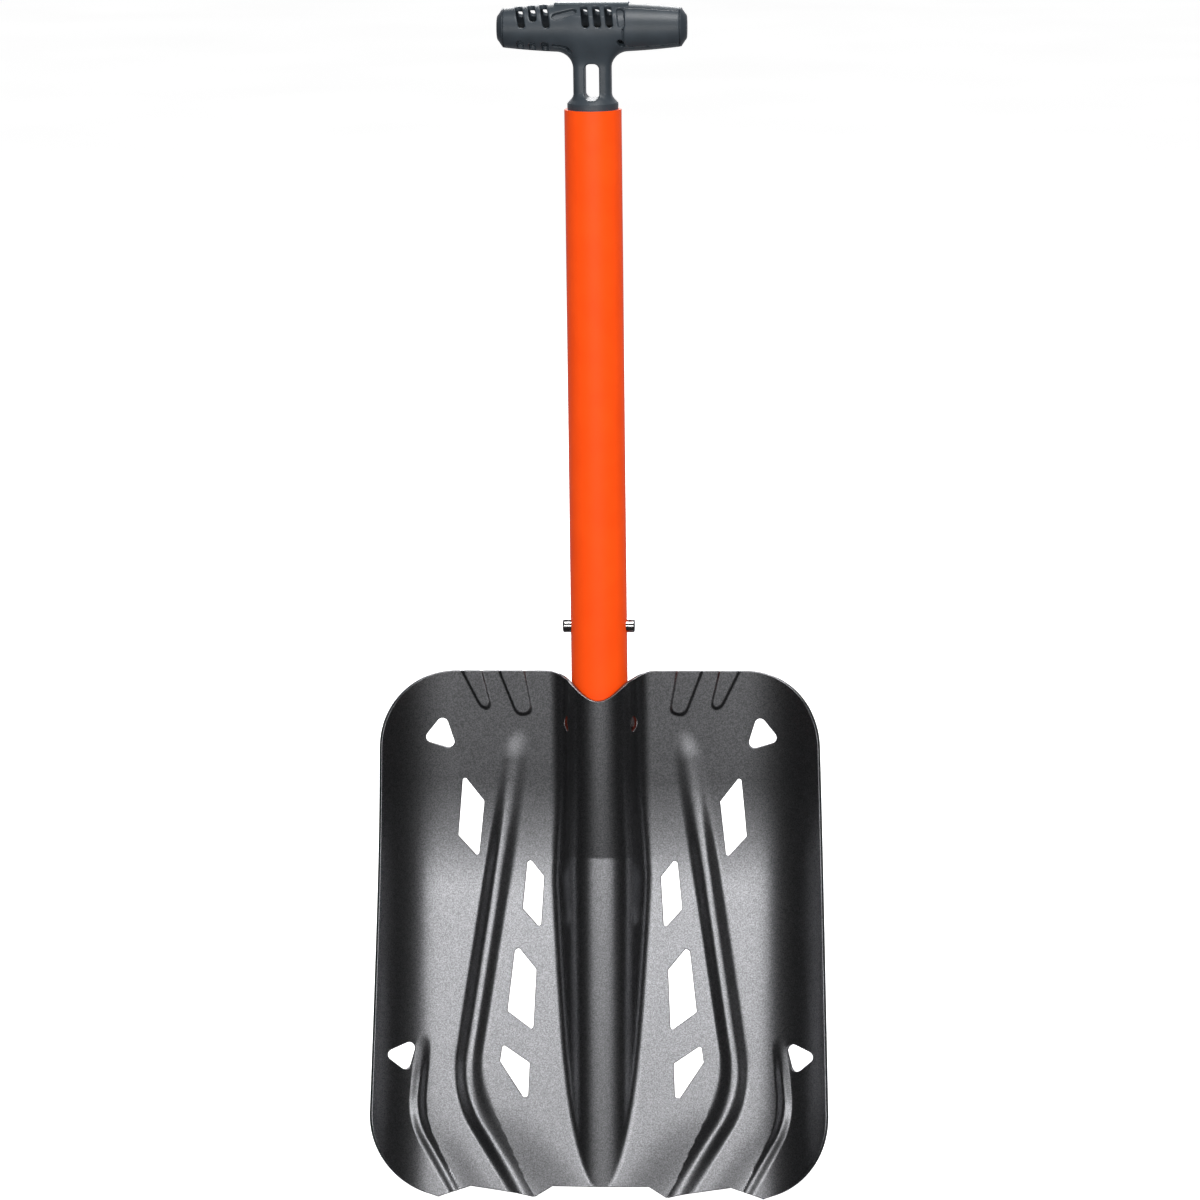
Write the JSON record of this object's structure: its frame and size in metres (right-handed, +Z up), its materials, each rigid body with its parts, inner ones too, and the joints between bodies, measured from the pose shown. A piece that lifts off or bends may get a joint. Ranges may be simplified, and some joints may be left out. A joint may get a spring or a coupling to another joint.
{
  "type": "avalanche shovel",
  "caption": "Short snow shovel: pressed aluminium scoop with gutter, ribs and cut-outs, one round shaft with spring snap buttons in its socket, and a moulded T-grip.",
  "frame": {"origin": "under the middle of the shovel, at the height of the blade's tooth tips, with the shaft upright", "axes": "+Z up along the shaft, -Y towards the scoop side, +X to the right as seen from the scoop side"},
  "size_m": [0.242, 0.072, 0.6354],
  "materials": {
    "anodised_blade": "dark satin anodised, finely speckled",
    "anodised_bracket": "dark satin anodised",
    "weld": "bare weld metal",
    "orange_tube": "fluorescent orange anodised, smooth satin",
    "black_plastic": "matt",
    "spring_steel": "bright spring steel",
    "button_steel": "polished",
    "grip_plastic": "fine moulded texture, slate grey",
    "cap_plastic": "fine moulded texture, slate grey",
    "plate_plastic": "smooth satin, slate grey",
    "rivet_aluminium": "bare"
  },
  "bodies": {
    "blade": {"blade": "anodised_blade", "socket_bracket": "anodised_bracket", "left_weld_bead": "weld", "right_weld_bead": "weld"},
    "shaft": {"shaft_tube": "orange_tube", "tube_end_plug": "black_plastic", "snap_spring": "spring_steel", "grip_body": "grip_plastic", "left_grip_cap": "cap_plastic", "right_grip_cap": "cap_plastic", "grip_top_plate": "plate_plastic", "grip_rivet": "rivet_aluminium"},
    "left_button": {"left_button": "button_steel"},
    "right_button": {"right_button": "button_steel"}
  },
  "joints": [
    {"name": "shaft_slide", "type": "slide", "parent": "blade", "child": "shaft", "axis": [0, 0, 1], "range_m": [-0.025, 0.09]},
    {"name": "left_button_press", "type": "slide", "parent": "shaft", "child": "left_button", "axis": [1, 0, 0], "range_m": [0, 0.0045], "stiffness_N_per_m": 1500, "springref_m": -0.003, "deforming": ["snap_spring"]},
    {"name": "right_button_press", "type": "slide", "parent": "shaft", "child": "right_button", "axis": [-1, 0, 0], "range_m": [0, 0.0045], "stiffness_N_per_m": 1500, "springref_m": -0.003, "deforming": ["snap_spring"]}
  ]
}
